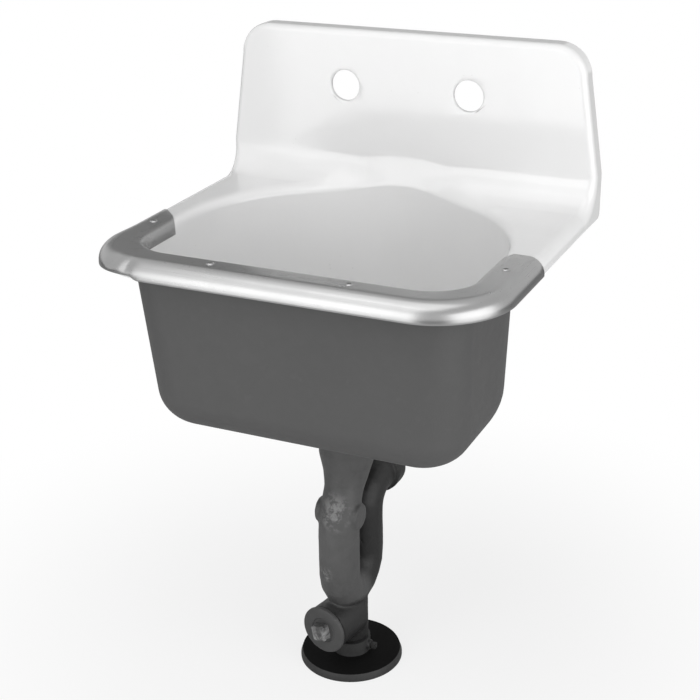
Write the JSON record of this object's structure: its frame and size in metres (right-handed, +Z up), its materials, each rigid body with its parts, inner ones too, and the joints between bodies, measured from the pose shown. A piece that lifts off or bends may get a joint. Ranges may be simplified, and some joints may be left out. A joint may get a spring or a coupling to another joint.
{
  "type": "mop service sink",
  "caption": "Wall-hung enamelled service sink with a half-round bowl, tall drilled splash back, metal rim guard and a cast trap standard with cleanout and floor flange.",
  "frame": {"origin": "middle of the four wall hanger screws, on the face of the finished wall", "axes": "+X to the right as one faces the sink, +Y back into the wall, +Z up"},
  "size_m": [0.6096, 0.4968, 0.961],
  "materials": {
    "enamel": "white glossy enamel inside and on the deck and splash back, flat grey paint outside",
    "guard_steel": "brushed stainless steel",
    "screw_steel": "plain stainless steel",
    "hanger_steel": "grey painted steel",
    "strainer_metal": "plated brass",
    "fastener_brass": "plain brass",
    "trap_iron": "rough black coated iron",
    "plug_iron": "dark iron, worn on its edges",
    "seal_rubber": "matte black rubber"
  },
  "bodies": {
    "sink": {"basin_casting": "enamel", "rim_guard": "guard_steel", "rim_guard_screws": "screw_steel", "wall_hanger_left": "hanger_steel", "wall_hanger_right": "hanger_steel", "strainer": "strainer_metal", "strainer_seal": "seal_rubber", "strainer_screws": "strainer_metal", "trap_gasket": "seal_rubber", "trap_body": "trap_iron", "trap_washers": "fastener_brass", "trap_nuts": "fastener_brass"},
    "plug_seal": {"cleanout_washer": "seal_rubber"},
    "plug": {"cleanout_plug": "plug_iron"},
    "foot": {"floor_flange": "trap_iron", "flange_set_screw": "screw_steel"}
  },
  "joints": [
    {"name": "cleanout_out", "type": "slide", "parent": "sink", "child": "plug_seal", "axis": [-0.2079, -0.9781, 0], "range_m": [0, 0.0225]},
    {"name": "cleanout_turn", "type": "hinge", "parent": "plug_seal", "child": "plug", "pos_m": [0, -0.26, -0.802], "axis": [-0.2079, -0.9781, 0], "range_deg": [0, 3600]},
    {"name": "foot_height", "type": "slide", "parent": "sink", "child": "foot", "axis": [0, 0, 1], "range_m": [-0.018, 0]}
  ],
  "couplings": [
    {"joint": "cleanout_out", "follows": "cleanout_turn", "m_per_rad": 0.00035155}
  ]
}
